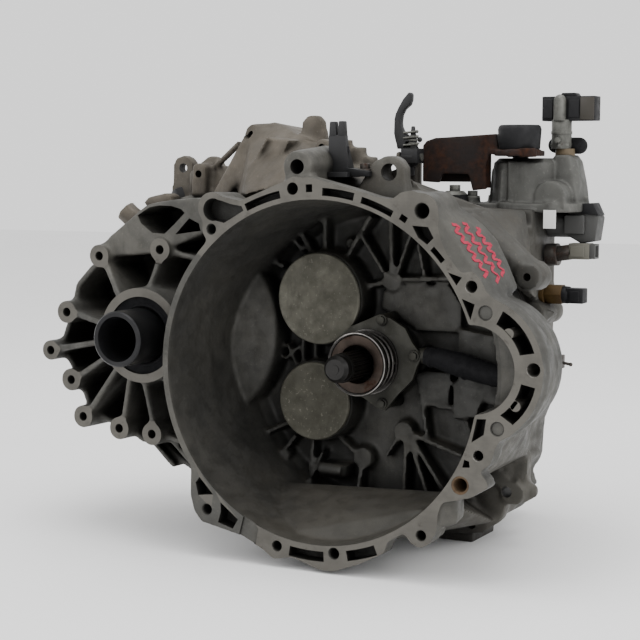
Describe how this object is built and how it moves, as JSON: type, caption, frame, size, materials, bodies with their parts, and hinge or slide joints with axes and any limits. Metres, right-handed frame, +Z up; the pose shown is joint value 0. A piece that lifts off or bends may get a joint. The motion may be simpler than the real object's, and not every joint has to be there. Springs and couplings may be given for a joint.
{
  "type": "manual transmission",
  "caption": "Transaxle with bell housing, gear case, splined input shaft, concentric clutch release, side differential bore and a cable-worked shift tower.",
  "frame": {"origin": "bottom centre of the whole part's bounding box", "axes": "+Y from the open bell into the gear case along the input shaft, +Z up, +X towards the starter lobe"},
  "size_m": [0.5626, 0.368, 0.4428],
  "materials": {
    "cast_aluminium": "sand-cast, oxidised",
    "cast_aluminium_case": "sand-cast, stained",
    "machined_steel": "machined",
    "gear_steel": "hardened and ground",
    "bearing_steel": "ground",
    "pressed_disc": "pressed and matt",
    "rusty_steel": "surface rust",
    "dark_steel": "black coated",
    "black_plastic": "moulded",
    "grey_plastic": "moulded",
    "rubber": "matt",
    "brass": "dull"
  },
  "bodies": {
    "housing": {"bell_housing": "cast_aluminium", "gear_case": "cast_aluminium_case", "shift_tower": "cast_aluminium", "upper_shaft_cap": "pressed_disc", "lower_shaft_cap": "pressed_disc", "input_front_bearing": "bearing_steel", "input_rear_bearing": "bearing_steel", "upper_front_bearing": "bearing_steel", "upper_rear_bearing": "bearing_steel", "lower_front_bearing": "bearing_steel", "lower_rear_bearing": "bearing_steel", "diff_front_bearing": "bearing_steel", "diff_rear_bearing": "bearing_steel", "output_seal": "rubber", "upper_shift_rail": "machined_steel", "lower_shift_rail": "machined_steel", "reverse_idler_shaft": "machined_steel", "slave_cylinder": "pressed_disc", "slave_feed_pipe": "rubber", "cable_bracket": "dark_steel", "hydraulic_union": "brass", "hydraulic_block": "black_plastic", "gear_position_sensor": "grey_plastic", "neutral_sensor": "grey_plastic", "reversing_light_switch": "brass", "filler_plug": "dark_steel"},
    "input": {"input_shaft": "machined_steel", "input_gear_third_fifth": "gear_steel", "input_gear_fourth_sixth": "gear_steel"},
    "first": {"first_gear": "gear_steel"},
    "second": {"second_gear": "gear_steel"},
    "third": {"third_gear": "gear_steel"},
    "fourth": {"fourth_gear": "gear_steel"},
    "fifth": {"fifth_gear": "gear_steel"},
    "sixth": {"sixth_gear": "gear_steel"},
    "idler": {"reverse_idler": "gear_steel"},
    "reverse": {"reverse_gear": "gear_steel"},
    "upper": {"upper_shaft": "machined_steel"},
    "lower": {"lower_shaft": "machined_steel"},
    "sleeve_12": {"sleeve_first_second": "gear_steel"},
    "sleeve_34": {"sleeve_third_fourth": "gear_steel"},
    "sleeve_56": {"sleeve_fifth_sixth": "gear_steel"},
    "sleeve_r": {"sleeve_reverse": "gear_steel"},
    "differential": {"ring_gear": "gear_steel", "diff_carrier": "gear_steel", "cross_pin": "machined_steel", "output_sleeve": "dark_steel"},
    "planet_top": {"planet_gear_top": "gear_steel"},
    "planet_bottom": {"planet_gear_bottom": "gear_steel"},
    "side_front": {"side_gear_front": "gear_steel"},
    "side_rear": {"side_gear_rear": "gear_steel"},
    "release": {"release_bearing": "bearing_steel"},
    "fork_12": {"fork_first_second": "brass"},
    "fork_34": {"fork_third_fourth": "brass"},
    "fork_56": {"fork_fifth_sixth": "brass"},
    "fork_r": {"fork_reverse": "brass"},
    "shift_arm": {"shift_lever": "rusty_steel", "mass_damper": "rubber"},
    "selector": {"selector_shaft": "machined_steel"},
    "select_arm": {"select_lever": "dark_steel"}
  },
  "joints": [
    {"name": "input_spin", "type": "hinge", "parent": "housing", "child": "input", "pos_m": [0.0611, -0.168, 0.184], "axis": [0, 1, 0], "continuous": true},
    {"name": "first_gear_spin", "type": "hinge", "parent": "housing", "child": "first", "pos_m": [0.00363, -0.168, 0.24249], "axis": [0, 1, 0], "continuous": true},
    {"name": "second_gear_spin", "type": "hinge", "parent": "housing", "child": "second", "pos_m": [0.00363, -0.168, 0.24249], "axis": [0, 1, 0], "continuous": true},
    {"name": "third_gear_spin", "type": "hinge", "parent": "housing", "child": "third", "pos_m": [0.00363, -0.168, 0.24249], "axis": [0, 1, 0], "continuous": true},
    {"name": "fourth_gear_spin", "type": "hinge", "parent": "housing", "child": "fourth", "pos_m": [0.00363, -0.168, 0.24249], "axis": [0, 1, 0], "continuous": true},
    {"name": "fifth_gear_spin", "type": "hinge", "parent": "housing", "child": "fifth", "pos_m": [-0.00116, -0.168, 0.14041], "axis": [0, 1, 0], "continuous": true},
    {"name": "sixth_gear_spin", "type": "hinge", "parent": "housing", "child": "sixth", "pos_m": [-0.00116, -0.168, 0.14041], "axis": [0, 1, 0], "continuous": true},
    {"name": "reverse_idler_spin", "type": "hinge", "parent": "housing", "child": "idler", "pos_m": [0.08245, -0.168, 0.13223], "axis": [0, 1, 0], "continuous": true},
    {"name": "reverse_gear_spin", "type": "hinge", "parent": "housing", "child": "reverse", "pos_m": [-0.00116, -0.168, 0.14041], "axis": [0, 1, 0], "continuous": true},
    {"name": "differential_spin", "type": "hinge", "parent": "housing", "child": "differential", "pos_m": [-0.14426, -0.168, 0.20737], "axis": [0, 1, 0], "continuous": true},
    {"name": "upper_shaft_spin", "type": "hinge", "parent": "housing", "child": "upper", "pos_m": [0.00363, -0.168, 0.24249], "axis": [0, 1, 0], "continuous": true},
    {"name": "lower_shaft_spin", "type": "hinge", "parent": "housing", "child": "lower", "pos_m": [-0.00116, -0.168, 0.14041], "axis": [0, 1, 0], "continuous": true},
    {"name": "side_gear_front_spin", "type": "hinge", "parent": "differential", "child": "side_front", "pos_m": [-0.14426, -0.168, 0.20737], "axis": [0, 1, 0], "continuous": true},
    {"name": "side_gear_rear_spin", "type": "hinge", "parent": "differential", "child": "side_rear", "pos_m": [-0.14426, -0.168, 0.20737], "axis": [0, 1, 0], "continuous": true},
    {"name": "planet_gear_top_spin", "type": "hinge", "parent": "differential", "child": "planet_top", "pos_m": [-0.14426, 0.048, 0.20737], "axis": [0, 0, 1], "continuous": true},
    {"name": "planet_gear_bottom_spin", "type": "hinge", "parent": "differential", "child": "planet_bottom", "pos_m": [-0.14426, 0.048, 0.20737], "axis": [0, 0, 1], "continuous": true},
    {"name": "release_slide", "type": "slide", "parent": "housing", "child": "release", "axis": [0, -1, 0], "range_m": [0, 0.01]},
    {"name": "shift_turn", "type": "hinge", "parent": "housing", "child": "shift_arm", "pos_m": [0.1691, 0.062, 0.384], "axis": [0, 0, 1], "range_deg": [-12, 12]},
    {"name": "fork_third_fourth_slide", "type": "slide", "parent": "housing", "child": "fork_34", "axis": [0, 1, 0], "range_m": [-0.008, 0.008]},
    {"name": "sleeve_third_fourth_slide", "type": "slide", "parent": "upper", "child": "sleeve_34", "axis": [0, 1, 0], "range_m": [-0.008, 0.008]},
    {"name": "select_slide", "type": "slide", "parent": "shift_arm", "child": "selector", "axis": [0, 0, 1], "range_m": [-0.008, 0.008]},
    {"name": "select_lever_pivot", "type": "hinge", "parent": "housing", "child": "select_arm", "pos_m": [0.0711, 0.012, 0.38], "axis": [1, 0, 0], "range_deg": [-12, 12]},
    {"name": "fork_first_second_slide", "type": "slide", "parent": "housing", "child": "fork_12", "axis": [0, 1, 0], "range_m": [-0.008, 0.008]},
    {"name": "sleeve_first_second_slide", "type": "slide", "parent": "upper", "child": "sleeve_12", "axis": [0, 1, 0], "range_m": [-0.008, 0.008]},
    {"name": "fork_fifth_sixth_slide", "type": "slide", "parent": "housing", "child": "fork_56", "axis": [0, 1, 0], "range_m": [-0.008, 0.008]},
    {"name": "sleeve_fifth_sixth_slide", "type": "slide", "parent": "lower", "child": "sleeve_56", "axis": [0, 1, 0], "range_m": [-0.008, 0.008]},
    {"name": "fork_reverse_slide", "type": "slide", "parent": "housing", "child": "fork_r", "axis": [0, 1, 0], "range_m": [-0.008, 0]},
    {"name": "sleeve_reverse_slide", "type": "slide", "parent": "lower", "child": "sleeve_r", "axis": [0, 1, 0], "range_m": [-0.008, 0]}
  ],
  "couplings": [
    {"joint": "first_gear_spin", "follows": "input_spin", "ratio": -0.32258},
    {"joint": "second_gear_spin", "follows": "input_spin", "ratio": -0.51852},
    {"joint": "third_gear_spin", "follows": "input_spin", "ratio": -0.86364},
    {"joint": "fourth_gear_spin", "follows": "input_spin", "ratio": -1.1579},
    {"joint": "fifth_gear_spin", "follows": "input_spin", "ratio": -1},
    {"joint": "sixth_gear_spin", "follows": "input_spin", "ratio": -1.375},
    {"joint": "reverse_idler_spin", "follows": "input_spin", "ratio": -0.55556},
    {"joint": "reverse_gear_spin", "follows": "input_spin", "ratio": 0.41667},
    {"joint": "upper_shaft_spin", "follows": "differential_spin", "ratio": -4.0667},
    {"joint": "lower_shaft_spin", "follows": "differential_spin", "ratio": -3.3889},
    {"joint": "side_gear_rear_spin", "follows": "side_gear_front_spin", "ratio": -1},
    {"joint": "planet_gear_top_spin", "follows": "side_gear_front_spin", "ratio": 1.5},
    {"joint": "planet_gear_bottom_spin", "follows": "side_gear_front_spin", "ratio": -1.5},
    {"joint": "fork_third_fourth_slide", "follows": "shift_turn", "m_per_rad": -0.038},
    {"joint": "sleeve_third_fourth_slide", "follows": "shift_turn", "m_per_rad": -0.038},
    {"joint": "select_lever_pivot", "follows": "select_slide", "rad_per_m": -25},
    {"joint": "sleeve_first_second_slide", "follows": "fork_first_second_slide", "ratio": 1},
    {"joint": "sleeve_fifth_sixth_slide", "follows": "fork_fifth_sixth_slide", "ratio": 1},
    {"joint": "sleeve_reverse_slide", "follows": "fork_reverse_slide", "ratio": 1}
  ]
}
